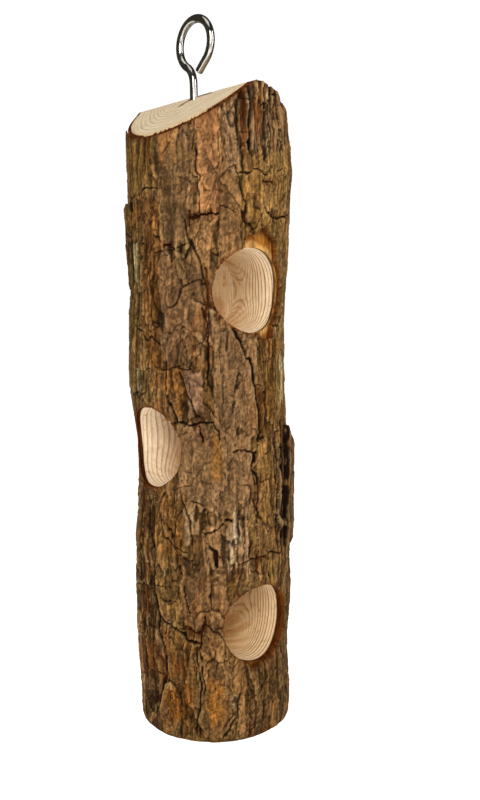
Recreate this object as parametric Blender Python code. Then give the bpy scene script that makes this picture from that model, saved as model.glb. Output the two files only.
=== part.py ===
"""Hanging log bird feeder: a short log with its bark on, cut to a ridge at the top, with three large blind
pockets drilled in from the side and a screw eye turned into the ridge to hang it by.

Lengths are in millimetres and are turned into metres where a mesh is made. Azimuths are in degrees round the
log's axis: 0 faces -Y, 90 faces +X. The origin is the middle of the flat bottom, and +Z runs up the log.
"""

import math

import bmesh
import bpy
from mathutils import Matrix, Vector

MM = 0.001

# Overall sizes.
LOG_DIAMETER = 76.2
OVERALL_HEIGHT = 336.55
BARK_THICKNESS = 4.8
INNER_BARK_THICKNESS = 1.8
GAP = 0.3
PLATE_GAP = 0.4
STOCK_HEIGHT = 325.0

LOG_RADIUS = LOG_DIAMETER / 2
WOOD_RADIUS = LOG_RADIUS - BARK_THICKNESS
SLEEVE_INNER = WOOD_RADIUS + GAP
SLEEVE_OUTER = SLEEVE_INNER + INNER_BARK_THICKNESS
PLATE_INNER = SLEEVE_OUTER + PLATE_GAP

# The two saw cuts that make the top: the height where each meets the log's axis, its slope, and the azimuth
# that it runs down towards.
FRONT_CUT = {"axis_height": 309.5, "slope": 36.9, "downhill": -77.5}
BACK_CUT = {"axis_height": 299.7, "slope": 11.8, "downhill": 124.2}

# The pockets, drilled by hand with one bit, so they are a degree or three off square.
POCKET_RADIUS = 19.05
POCKET_DEPTH = 43.0
POCKETS = {"upper": (-1.5, 213.9), "middle": (-86.5, 141.8), "lower": (1.5, 56.2)}

# The screw eye: ring, straight tail and shank of one wire.
WIRE_RADIUS = 1.8
RING_RADIUS = 10.6
RING_OFFSET = 1.5
RING_AZIMUTH = 6.8
EYE_PLACE = (-9.9, -5.6)
SHANK_TOP = 306.5
NECK_HANDLE = 3.6
RING_START = 238.0
RING_END = -48.0
TAIL_LENGTH = 6.2
TIP_HEIGHT = 278.0
TIP_LENGTH = 4.0
THREAD_TOP = 297.0
THREAD_PITCH = 1.8
THREAD_DEPTH = 0.45
BORE_RADIUS = 2.4
BORE_BOTTOM = 276.5

# The long fissures of the bark, from left to right round the log: (height, azimuth) at each bend.
FISSURES = [
    [(0, -88), (32, -76), (64, -86), (105, -97), (190, -93), (258, -99), (325, -94)],
    [(0, -47), (46, -46), (88, -36), (125, -31), (156, -44), (190, -36), (226, -38), (241, -48),
     (272, -40), (325, -39)],
    [(0, -10), (30, -6), (88, -2), (120, 0), (143, 4), (164, 5), (196, -12), (247, -10), (273, -5),
     (325, -14)],
    [(0, 36), (56, 42), (110, 34), (152, 37), (214, 40), (250, 38), (325, 32)],
    [(0, 84), (70, 78), (150, 88), (230, 81), (325, 86)],
    [(0, 126), (90, 134), (180, 127), (260, 133), (325, 129)],
    [(0, 178), (80, 171), (170, 179), (250, 172), (325, 176)],
    [(0, 226), (60, 219), (150, 224), (240, 217), (325, 221)],
]
FISSURE_HALF_WIDTH = 0.6

# Each strip of bark between two fissures: its name, its thickness over the inner bark, and the heights of the
# cross cracks at its left and right edges, from the bottom up.
STRIPS = [
    ("left_front", 2.3, [(62, 56), (156, 157), (236, 232)]),
    ("front_left", 2.1, [(92, 98), (155, 150), (246, 250)]),
    ("front_right", 2.5, [(88, 90), (176, 168), (264, 260)]),
    ("right_front", 2.2, [(96, 88), (190, 198)]),
    ("right_back", 2.6, [(120, 131), (226, 218)]),
    ("back_right", 2.3, [(74, 66), (182, 190)]),
    ("back_left", 2.5, [(118, 110), (228, 236)]),
    ("left_back", 2.2, [(84, 90), (200, 192)]),
]
LEVELS = {3: ("low", "middle", "top"), 4: ("low", "middle", "high", "top")}
PLATE_BOTTOM = 0.4
ROW_STEP = 16.0
END_MARGIN = 4.0
COLUMN_STEP = 9.0

# Flakes that have sprung off the plates under them: azimuths of the two edges, lowest and highest point, the
# radius of the inner face and the thickness.
FLAKES = {
    "flake_right_slab": (19, 46, 91, 152, LOG_RADIUS + 0.9, 2.1),
    "flake_left_edge": (-119, -101, 216, 254, LOG_RADIUS + 0.4, 1.3),
    "flake_low_left": (-118, -103, 56, 78, LOG_RADIUS + 0.4, 1.2),
}

WOOD = (0.76, 0.58, 0.39)
INNER_BARK = (0.42, 0.17, 0.06)
OUTER_BARK = (0.23, 0.15, 0.10)
STEEL = (0.62, 0.61, 0.58)


def clear_scene():
    for obj in list(bpy.data.objects):
        bpy.data.objects.remove(obj, do_unlink=True)


def make_material(name, colour, roughness, metallic=0.0):
    material = bpy.data.materials.new(name)
    material.use_nodes = True
    shader = material.node_tree.nodes["Principled BSDF"]
    shader.inputs["Base Color"].default_value = (*colour, 1.0)
    shader.inputs["Roughness"].default_value = roughness
    shader.inputs["Metallic"].default_value = metallic
    return material


def outward(azimuth):
    """The level unit vector that points out from the log's axis at an azimuth."""
    angle = math.radians(azimuth)
    return Vector((math.sin(angle), -math.cos(angle), 0.0))


def on_log(radius, azimuth, height):
    return (outward(azimuth) * radius + Vector((0.0, 0.0, height))) * MM


def object_from(name, mesh_builder, material=None, smooth_angle=None):
    """A new object from a filled bmesh, whose faces are turned outwards."""
    bmesh.ops.recalc_face_normals(mesh_builder, faces=mesh_builder.faces)
    mesh = bpy.data.meshes.new(name)
    mesh_builder.to_mesh(mesh)
    mesh_builder.free()
    if material:
        mesh.materials.append(material)
    if smooth_angle:
        mesh.shade_smooth()
        mesh.set_sharp_from_angle(angle=math.radians(smooth_angle))
    obj = bpy.data.objects.new(name, mesh)
    bpy.context.scene.collection.objects.link(obj)
    return obj


def rod_builder(radius, low, high, sides, matrix=Matrix()):
    """A closed cylinder along its own Z from low to high, in metres after the matrix."""
    builder = bmesh.new()
    place = Matrix.Translation((0.0, 0.0, (low + high) / 2 * MM))
    bmesh.ops.create_cone(
        builder, cap_ends=True, segments=sides, radius1=radius * MM, radius2=radius * MM,
        depth=(high - low) * MM, matrix=matrix @ place,
    )
    return builder


def as_cutter(obj):
    obj.hide_render = True
    obj.display_type = "WIRE"
    return obj


def cut_away(obj, cutters):
    for cutter in cutters:
        boolean = obj.modifiers.new(cutter.name, "BOOLEAN")
        boolean.operation = "DIFFERENCE"
        boolean.solver = "EXACT"
        boolean.object = cutter


def saw_cutter(name, cut):
    """A block whose flat underside is the saw cut, and which holds everything above it."""
    reach = 3 * LOG_DIAMETER
    downhill = outward(cut["downhill"])
    across = Vector((0.0, 0.0, 1.0)).cross(downhill)
    slope = math.radians(cut["slope"])
    along = downhill * math.cos(slope) - Vector((0.0, 0.0, math.sin(slope)))
    normal = along.cross(across)
    frame = Matrix((along, across, normal)).transposed().to_4x4()
    frame.translation = (Vector((0.0, 0.0, cut["axis_height"])) + normal * reach / 2) * MM
    builder = bmesh.new()
    bmesh.ops.create_cube(builder, size=reach * MM, matrix=frame)
    return as_cutter(object_from(name, builder))


def pocket_cutter(name, azimuth, height):
    """The drill that makes one pocket: it points in level at the log's axis and has a flat end."""
    out = outward(azimuth)
    up = Vector((0.0, 0.0, 1.0))
    frame = Matrix((up.cross(out), up, out)).transposed().to_4x4()
    frame.translation = (0.0, 0.0, height * MM)
    builder = rod_builder(POCKET_RADIUS, LOG_RADIUS - POCKET_DEPTH, 2 * LOG_RADIUS, 40, frame)
    return as_cutter(object_from(name, builder))


def make_wood_core(material, cutters):
    bore_place = Matrix.Translation((EYE_PLACE[0] * MM, EYE_PLACE[1] * MM, 0.0))
    bore = rod_builder(BORE_RADIUS, BORE_BOTTOM, STOCK_HEIGHT + 5, 16, bore_place)
    core = object_from("wood_core", rod_builder(WOOD_RADIUS, 0, STOCK_HEIGHT, 64), material, 30)
    cut_away(core, [*cutters, as_cutter(object_from("cutter_pilot_bore", bore))])
    return core


def make_inner_bark(material, cutters):
    """The sleeve of inner bark: a four-cornered profile carried round the log's axis."""
    sides = 64
    profile = [
        (SLEEVE_OUTER, PLATE_BOTTOM), (SLEEVE_OUTER, STOCK_HEIGHT),
        (SLEEVE_INNER, STOCK_HEIGHT), (SLEEVE_INNER, PLATE_BOTTOM),
    ]
    builder = bmesh.new()
    loops = []
    for k in range(sides):
        corners = [on_log(radius, 360 * k / sides, height) for radius, height in profile]
        loops.append([builder.verts.new(corner) for corner in corners])
    for k, loop in enumerate(loops):
        bridge(builder, loop, loops[(k + 1) % sides])
    sleeve = object_from("inner_bark", builder, material, 30)
    cut_away(sleeve, cutters)
    return sleeve


def bridge(builder, first, second):
    """A band of quads between two closed loops of as many points."""
    for k in range(len(first)):
        n = (k + 1) % len(first)
        builder.faces.new((first[k], first[n], second[n], second[k]))


def shell_builder(grid, inner, outer):
    """A closed curved slab over a grid of (azimuth, height), between two radii."""
    builder = bmesh.new()
    layers = []
    for radius in (outer, inner):
        layers.append([[builder.verts.new(on_log(radius, *spot)) for spot in row] for row in grid])
    rows, columns = len(grid), len(grid[0])
    for layer in layers:
        for i in range(rows - 1):
            for j in range(columns - 1):
                builder.faces.new((layer[i][j], layer[i][j + 1], layer[i + 1][j + 1], layer[i + 1][j]))
    rim = [(0, j) for j in range(columns)]
    rim += [(i, columns - 1) for i in range(1, rows)]
    rim += [(rows - 1, j) for j in range(columns - 2, -1, -1)]
    rim += [(i, 0) for i in range(rows - 2, 0, -1)]
    for (i, j), (k, m) in zip(rim, rim[1:] + rim[:1]):
        builder.faces.new((layers[0][i][j], layers[1][i][j], layers[1][k][m], layers[0][k][m]))
    bmesh.ops.triangulate(builder, faces=builder.faces)
    return builder


def between_bends(fissure, height):
    for (low, start), (high, end) in zip(fissure, fissure[1:]):
        if height <= high:
            return start + (end - start) * (height - low) / (high - low)
    return fissure[-1][1]


def azimuth_at(fissure, height):
    """Where a fissure lies at a height. It runs straight between rows, so that the plates beside it agree."""
    row = math.floor(height / ROW_STEP)
    low, high = (between_bends(fissure, max(0.0, k * ROW_STEP)) for k in (row, row + 1))
    return low + (high - low) * (height / ROW_STEP - row)


def plate_grid(left, right, bottom, top):
    """Grid of one plate: left and right are fissures, bottom and top are the heights at its two edges."""
    edge_gap = math.degrees(FISSURE_HALF_WIDTH / LOG_RADIUS)
    first = math.ceil((max(bottom) + END_MARGIN) / ROW_STEP)
    last = math.floor((min(top) - END_MARGIN) / ROW_STEP)
    rows = [[height + FISSURE_HALF_WIDTH for height in bottom]]
    rows += [[k * ROW_STEP, k * ROW_STEP] for k in range(first, last + 1)]
    rows += [[height - FISSURE_HALF_WIDTH for height in top]]
    middle = (bottom[0] + top[0]) / 2
    width = (azimuth_at(right, middle) - azimuth_at(left, middle)) % 360
    columns = max(2, round(width / COLUMN_STEP))
    grid = []
    for low_side, high_side in rows:
        start = azimuth_at(left, low_side) + edge_gap
        span = (azimuth_at(right, high_side) - edge_gap - start) % 360
        steps = [j / columns for j in range(columns + 1)]
        grid.append([(start + span * step, low_side + (high_side - low_side) * step) for step in steps])
    return grid


def make_plates(material, cutters):
    for index, (side, thickness, cracks) in enumerate(STRIPS):
        left, right = FISSURES[index], FISSURES[(index + 1) % len(FISSURES)]
        floor = PLATE_BOTTOM - FISSURE_HALF_WIDTH
        edges = [(floor, floor), *cracks, (STOCK_HEIGHT, STOCK_HEIGHT)]
        for level, bottom, top in zip(LEVELS[len(edges) - 1], edges, edges[1:]):
            grid = plate_grid(left, right, bottom, top)
            builder = shell_builder(grid, PLATE_INNER, PLATE_INNER + thickness)
            cut_away(object_from(f"bark_{side}_{level}", builder, material, 30), cutters)


def make_flakes(material):
    """Raised flakes, each narrowing to a blunt point at both ends."""
    for name, (left, right, low, high, inner, thickness) in FLAKES.items():
        middle, half = (left + right) / 2, (right - left) / 2
        grid = []
        for i in range(6):
            along = i / 5
            spread = half * (0.55 + 0.45 * math.sin(math.pi * along))
            height = low + (high - low) * along
            grid.append([(middle + spread * (j / 2 - 1), height) for j in range(5)])
        object_from(name, shell_builder(grid, inner, inner + thickness), material, 30)


def bezier(points, count):
    """Points along a cubic Bezier curve, without its last."""
    result = []
    for i in range(count):
        t = i / count
        weights = ((1 - t) ** 3, 3 * t * (1 - t) ** 2, 3 * t * t * (1 - t), t**3)
        result.append(tuple(sum(w * p[k] for w, p in zip(weights, points)) for k in (0, 1)))
    return result


def wire_path():
    """Centre line of the wire in the ring's plane: (distance along the ring's azimuth, height)."""
    ring_height = OVERALL_HEIGHT - WIRE_RADIUS - RING_RADIUS
    turns = 40
    sweep = [math.radians(RING_START + (RING_END - RING_START) * i / turns) for i in range(turns + 1)]
    ring = [(RING_OFFSET + RING_RADIUS * math.cos(a), ring_height + RING_RADIUS * math.sin(a)) for a in sweep]
    away = (math.sin(sweep[0]), -math.cos(sweep[0]))
    joining = (ring[0][0] - away[0] * NECK_HANDLE, ring[0][1] - away[1] * NECK_HANDLE)
    neck = bezier([(0.0, SHANK_TOP), (0.0, SHANK_TOP + NECK_HANDLE), joining, ring[0]], 7)
    onward = (math.sin(sweep[-1]), -math.cos(sweep[-1]))
    tail = [(ring[-1][0] + onward[0] * reach, ring[-1][1] + onward[1] * reach)
            for reach in (TAIL_LENGTH / 2, TAIL_LENGTH)]
    step = THREAD_PITCH / 4
    steps = int((THREAD_TOP - TIP_HEIGHT) / step)
    shank = [(0.0, TIP_HEIGHT + i * step) for i in range(steps + 1)]
    return [*shank, (0.0, (THREAD_TOP + SHANK_TOP) / 2), *neck, *ring, *tail]


def wire_radius(height, turn):
    """Radius of the wire at a height and a turn round it, with the thread and the gimlet point."""
    if height >= THREAD_TOP:
        return WIRE_RADIUS
    taper = min(1.0, 0.22 + 0.78 * (height - TIP_HEIGHT) / TIP_LENGTH)
    phase = (height / THREAD_PITCH - turn) % 1.0
    crest = max(0.0, 1.0 - abs(phase - 0.5) / 0.3)
    return (WIRE_RADIUS - THREAD_DEPTH / 2 + THREAD_DEPTH * crest) * taper


def make_screw_eye(material):
    """Wire swept along its path, built round the turning axis, where the object is then placed."""
    sides = 12
    along_ring = outward(RING_AZIMUTH)
    up = Vector((0.0, 0.0, 1.0))
    across = up.cross(along_ring)
    path = [along_ring * u + up * height for u, height in wire_path()]
    builder = bmesh.new()
    loops = []
    for i, centre in enumerate(path):
        tangent = (path[min(i + 1, len(path) - 1)] - path[max(i - 1, 0)]).normalized()
        side = across.cross(tangent)
        loop = []
        for k in range(sides):
            angle = 2 * math.pi * k / sides
            radius = wire_radius(centre.z, k / sides)
            spot = centre + (side * math.cos(angle) + across * math.sin(angle)) * radius
            loop.append(builder.verts.new(spot * MM))
        loops.append(loop)
    for low, high in zip(loops, loops[1:]):
        bridge(builder, low, high)
    builder.faces.new(loops[0])
    builder.faces.new(loops[-1])
    eye = object_from("screw_eye", builder, material, 40)
    eye.location = (EYE_PLACE[0] * MM, EYE_PLACE[1] * MM, 0.0)
    return eye


def main():
    clear_scene()
    wood = make_material("wood", WOOD, 0.75)
    rust = make_material("inner_bark", INNER_BARK, 0.85)
    bark = make_material("outer_bark", OUTER_BARK, 0.9)
    steel = make_material("plated_steel", STEEL, 0.22, 1.0)
    cutters = [saw_cutter("cutter_front_saw", FRONT_CUT), saw_cutter("cutter_back_saw", BACK_CUT)]
    cutters += [pocket_cutter(f"cutter_{name}_pocket", *spot) for name, spot in POCKETS.items()]
    make_wood_core(wood, cutters)
    make_inner_bark(rust, cutters)
    make_plates(bark, cutters)
    make_flakes(bark)
    make_screw_eye(steel)


main()
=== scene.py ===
"""Looks of the hanging log bird feeder: bark in torn plates, drilled and sawn wood, and a plated screw eye.

Lengths are in millimetres until a mesh is made. Azimuths are in degrees round the log's axis: 0 faces -Y and
90 faces +X. A bearing is an azimuth counted from the camera's side of the log, with + to the right.
"""

import math

import bmesh
import bpy
import numpy as np
from mathutils import Matrix, Vector
from mathutils.bvhtree import BVHTree


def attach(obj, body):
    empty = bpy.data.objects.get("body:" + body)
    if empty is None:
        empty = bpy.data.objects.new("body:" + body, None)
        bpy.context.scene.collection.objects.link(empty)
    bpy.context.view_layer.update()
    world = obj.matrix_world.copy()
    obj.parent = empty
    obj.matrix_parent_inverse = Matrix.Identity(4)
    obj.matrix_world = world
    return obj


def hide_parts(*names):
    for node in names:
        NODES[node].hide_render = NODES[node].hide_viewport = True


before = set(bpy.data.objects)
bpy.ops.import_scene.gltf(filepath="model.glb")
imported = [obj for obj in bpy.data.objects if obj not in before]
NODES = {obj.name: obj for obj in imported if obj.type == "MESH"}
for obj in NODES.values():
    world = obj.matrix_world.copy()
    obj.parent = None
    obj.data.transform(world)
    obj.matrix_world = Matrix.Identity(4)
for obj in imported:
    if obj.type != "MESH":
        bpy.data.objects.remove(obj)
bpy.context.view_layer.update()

MM = 0.001

# The log, as the frame has it. A pocket is given by its axis's azimuth and height, and its floor by a place
# along that axis.
LOG_RADIUS = 38.1
WOOD_RADIUS = 33.3
SLEEVE_INNER = 33.6
SLEEVE_OUTER = 35.4
PLATE_INNER = 35.8
GIRTH = 2 * math.pi * LOG_RADIUS
DEGREE = math.radians(LOG_RADIUS)  # arc length of one degree round the bark
FRONT_CUT = {"axis_height": 309.5, "slope": 36.9, "downhill": -77.5}
BACK_CUT = {"axis_height": 299.7, "slope": 11.8, "downhill": 124.2}
POCKET_RADIUS = 19.05
POCKET_FLOOR = -4.9
POCKETS = [(-1.5, 213.9), (-86.5, 141.8), (1.5, 56.2)]

# Growth rings: where the pith lies, how much closer they lie along Y, and their mean width. The drift makes
# them wide and narrow by turns: by how many rings, and over what radius to a radian.
PITH = (0.6, -0.8)
RING_STRETCH = 1.05
RING_WIDTH = 1.6
RING_DRIFT = (0.5, 3.1)

# Camera, from a fit to the outline: it stands off the log's -X -Y side, a little over the middle.
VIEW_AZIMUTH = -35.15
CAMERA_DISTANCE = 404.1
CAMERA_HEIGHT = 213.0
CAMERA_PITCH = 8.85
CAMERA_ROLL = 0.018
CAMERA_LENS = 37.03
CAMERA_SHIFT = (0.037, 0.0269)

# The bark's grid: how many columns go round the log, where its rows start and how they rise. The noises that
# are worked out over it reach to FIELD_HEIGHT.
COLUMNS = 480
FIRST_ROW = 0.4
ROW_HEIGHT = 0.5
ROWS = 610
FIELD_HEIGHT = 340
SPREAD_QUADS = 5  # how far the plates spread over the fissures between them
LOOKUP_RADIUS = 60.0  # where the rays start that look a plate up
SNAP_REACH = 0.9  # how near a cut the edge of a sheet is drawn on to it


def srgb(red, green, blue):
    """Linear colour from an 8-bit one."""
    values = np.array([red, green, blue]) / 255
    return np.where(values <= 0.04045, values / 12.92, ((values + 0.055) / 1.055) ** 2.4)


# The bark's colours as they look under the studio's lights, which BARK_SHADE takes back out.
BARK_SHADE = np.array([0.54, 0.52, 0.44])
# Painted shade for the cracks and for the loose flakes' undersides and edges, and also the colour of the
# bark's dark flecks.
SHADE_AND_FLECK_DARK = srgb(26, 13, 6) * BARK_SHADE
UMBER = srgb(82, 56, 30) * BARK_SHADE
BROWN = srgb(106, 76, 42) * BARK_SHADE
TAN = srgb(134, 102, 62) * BARK_SHADE
MAUVE = srgb(124, 94, 64) * BARK_SHADE
ORANGE = srgb(150, 104, 62) * BARK_SHADE
OLIVE = srgb(112, 86, 44) * BARK_SHADE
RUST = srgb(138, 74, 24) * BARK_SHADE
DEEP_RUST = srgb(84, 34, 8) * BARK_SHADE
# Pale bark of chips and specks, also laid on the proud parts as a painted highlight.
PALE_CHIP_AND_HIGHLIGHT = srgb(196, 166, 124) * BARK_SHADE
GOLD = srgb(214, 150, 70) * BARK_SHADE
# Pale gold of freshly broken inner bark, also laid along a pocket's rim as a painted highlight.
BREAK_AND_RIM_HIGHLIGHT = srgb(250, 196, 120) * BARK_SHADE

# Places where the outer bark has broken off: bearing, height, reach and how far back it is torn.
CHIPPED = [
    (40, 236, 12, 8.0),
    (50, 232, 9, 6.0),
    (54, 215, 12, 1.8),
    (46, 194, 7, 4.5),
    (-36, 163, 4, 2.5),
    (30, 38, 5, 2.0),
    (74, 300, 10, 3.5),
    (-98, 294, 14, 5.0),
]

# Where the bark is thin: by how much, and each place as azimuth, reach, and the heights where that starts, is
# full and ends.
THINNED = 2.6
THIN_SPOTS = [(-125, 75, 262, 280, 400), (-122, 50, 108, 122, 168)]

# Where the log is out of round: a flat at the upper back, and its outline to either side of the camera, as
# (bearing, [(height, how far it stands out)]).
FLAT_AZIMUTH = -160.0
FLAT_DEPTH = 2.6
OUTLINES = [
    (84, [(20, 0.0), (40, -0.8), (60, 0.8), (80, 0.6), (130, 0.0), (160, -1.2), (180, -1.8), (205, -1.2),
          (235, 0.6), (269, 2.2), (300, 0.0)]),
    (-88, [(10, 0.0), (30, 1.0), (50, 1.0), (75, 0.6), (95, 0.8), (110, -1.4), (125, -2.4), (143, -2.2),
           (155, -0.8), (170, 1.4), (187, 1.0), (215, -0.6), (250, -0.6), (285, -1.0), (300, -1.5)]),
]

# Loose flakes: azimuths of the edges, heights of the ends, how far the top falls to the right, inner radius,
# thickness and brightness. The two at the left edge lie half sunk in the bark.
FLAKES = {
    "flake_right_slab": (26, 46, 91, 151, 11, LOG_RADIUS + 0.9, 2.1, 0.72),
    "flake_left_edge": (-119, -101, 216, 254, 0, LOG_RADIUS - 1.6, 2.2, 0.9),
    "flake_low_left": (-118, -103, 56, 78, 0, LOG_RADIUS - 1.2, 2.2, 0.7),
}

# Screw eye, as in the frame, but in a bore that fits it more closely. The cutters of the bore and of the saw
# cuts end well above the log.
OVERALL_HEIGHT = 336.55
WIRE_RADIUS = 1.8
RING_RADIUS = 10.6
RING_OFFSET = 1.5
RING_AZIMUTH = 6.8
EYE_PLACE = (-9.9, -5.6)
SHANK_TOP = 306.5
NECK_HANDLE = 3.6
RING_START = 238.0
RING_END = -48.0
TAIL_LENGTH = 6.2
TIP_HEIGHT = 278.0
TIP_LENGTH = 4.0
THREAD_TOP = 297.0
THREAD_PITCH = 1.8
THREAD_DEPTH = 0.45
END_ROUND = 0.45
BORE_RADIUS = 2.1
BORE_BOTTOM = 276.5
BORE_TOP = 320.0
CUTTER_TOP = 420.0

# Splits in the sawn face beside the screw, where it has forced the grain: both ends of each, to the camera's
# right of the screw and back from it, and half the width.
SPLITS = [((-6.5, -0.9), (-2.6, -0.2), 0.8), ((2.4, -1.6), (7.6, -5.2), 0.8)]

# Waves that take the growth rings out of round: radians to a millimetre along x, y and z, phase and height.
RING_WAVES = [
    ((0.17, 0.08, 0.012), 0.8, 0.5),
    ((-0.09, 0.21, 0.02), 2.1, 0.4),
    ((0.05, -0.06, 0.05), 0.3, 0.35),
]

# The wood's colours near the bark and deep in the pockets, and how strong its rings are, at each pocket's
# height. Then those of the sawn top, which lies above SAWN_FROM, of its rim, and of the dark part of a ring.
WOOD_PALE = {56: srgb(232, 205, 164), 142: srgb(242, 222, 190), 214: srgb(241, 220, 186)}
WOOD_DEEP = {56: srgb(210, 180, 130), 142: srgb(180, 140, 90), 214: srgb(220, 194, 152)}
RING_CONTRAST = {56: 1.0, 142: 0.6, 214: 1.0}
SAWN_FROM = 268.0
WOOD_TOP = srgb(196, 178, 148)
TOP_CONTRAST = 0.42
WOOD_RIM = srgb(196, 158, 104)
LATE_WOOD = (0.27, 0.14, 0.06)
RESIN = srgb(184, 116, 58)

# The curtain: the bearing where it starts, how far it runs round the log, in how many flat panels, and its
# radius and heights in metres.
FLAG_START = 72
FLAG_SWEEP = 264
FLAG_PANELS = 24
FLAG_RADIUS = 0.5
FLAG_HEIGHTS = (0.02, 0.75)

# Studio, in metres: floor, room, and lights as (name, azimuth, elevation, distance, size, power, colour).
FLOOR_RADIUS = 8.0
FLOOR_GLOW = 0.75
DARK_AZIMUTH = -24.0
ROOM_PALE = 1.05
ROOM_DARK = 0.05
LIGHTS = [
    ("key", -38, 24, 1.0, (0.45, 0.6), 9.0, (1.0, 0.97, 0.93)),
    ("left", -100, 20, 1.0, (0.1, 0.9), 1.4, (1.0, 1.0, 1.0)),
    ("right", 28, 20, 1.0, (0.1, 0.9), 3.0, (1.0, 1.0, 1.0)),
    ("top", -60, 72, 1.0, (0.6, 0.6), 1.5, (1.0, 1.0, 1.0)),
]


# ---------------------------------------------------------------- fields round the log


def outward(azimuth):
    """Unit vector out from the log's axis."""
    angle = np.radians(azimuth)
    return np.stack([np.sin(angle), -np.cos(angle), np.zeros_like(angle)], axis=-1)


def wrapped(degrees):
    """The same turn, from -180 to 180 degrees."""
    return (degrees + 180) % 360 - 180


def arc(azimuth):
    """Arc length round the bark."""
    return np.radians(azimuth) * LOG_RADIUS


def smoothstep(low, high, value):
    """A smooth rise from 0 at the low value to 1 at the high one. It falls if they are swapped."""
    t = np.clip((value - low) / (high - low), 0.0, 1.0)
    return t * t * (3 - 2 * t)


def noise(s, z, length_s, length_z, seed):
    """Smooth noise from 0 to 1 over arc length and height, which closes on itself round the log."""
    across = max(3, round(GIRTH / length_s))
    up = int(FIELD_HEIGHT / length_z) + 4
    grid = np.random.default_rng(seed).random((across, up))
    x, y = s / GIRTH * across, z / length_z + 1.5
    i, j = np.floor(x).astype(int), np.clip(np.floor(y).astype(int), 0, up - 2)
    fx, fy = x - i, np.clip(y - j, 0, 1)
    fx, fy = fx * fx * (3 - 2 * fx), fy * fy * (3 - 2 * fy)
    a, b = grid[i % across, j], grid[(i + 1) % across, j]
    c, d = grid[i % across, j + 1], grid[(i + 1) % across, j + 1]
    return (a * (1 - fx) + b * fx) * (1 - fy) + (c * (1 - fx) + d * fx) * fy


def cells(s, z, length_s, length_z, seed):
    """Irregular cells: two random values of the cell, distance to its edge, and height in it from -1 to 1."""
    across = max(3, round(GIRTH / length_s))
    up = int(FIELD_HEIGHT / length_z) + 6
    rng = np.random.default_rng(seed)
    jitter = 0.12 + 0.76 * rng.random((across, up, 2))
    values = rng.random((across, up, 2))
    x, y = s / GIRTH * across, z / length_z + 2.5
    i, j = np.floor(x).astype(int), np.floor(y).astype(int)
    nearest = np.full(s.shape, 9.0)
    second = np.full(s.shape, 9.0)
    picked = np.zeros(s.shape + (2,))
    place = np.zeros(s.shape)
    for di in (-1, 0, 1):
        for dj in (-1, 0, 1):
            ci, cj = (i + di) % across, np.clip(j + dj, 0, up - 1)
            dx = i + di + jitter[ci, cj, 0] - x
            dy = j + dj + jitter[ci, cj, 1] - y
            distance = np.hypot(dx, dy)
            closer = distance < nearest
            second = np.where(closer, nearest, np.minimum(second, distance))
            picked = np.where(closer[..., None], values[ci, cj], picked)
            place = np.where(closer, -dy, place)
            nearest = np.where(closer, distance, nearest)
    return picked[..., 0], picked[..., 1], second - nearest, place


def saw_height(azimuth, radius):
    """Height of the two saw cuts, whichever is lower, over a point of the log."""
    heights = []
    for cut in (FRONT_CUT, BACK_CUT):
        along = radius * np.cos(np.radians(azimuth - cut["downhill"]))
        heights.append(cut["axis_height"] - math.tan(math.radians(cut["slope"])) * along)
    return np.minimum(*heights)


def bearing_of(azimuth):
    """The azimuth counted from the camera's side of the log."""
    return wrapped(azimuth - VIEW_AZIMUTH)


def to_segment(x, y, start, end):
    """Distance from each point of a plane to a straight segment in it."""
    dx, dy = end[0] - start[0], end[1] - start[1]
    t = np.clip(((x - start[0]) * dx + (y - start[1]) * dy) / (dx * dx + dy * dy), 0, 1)
    return np.hypot(x - start[0] - t * dx, y - start[1] - t * dy)


# ---------------------------------------------------------------- bark relief and colour

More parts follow.
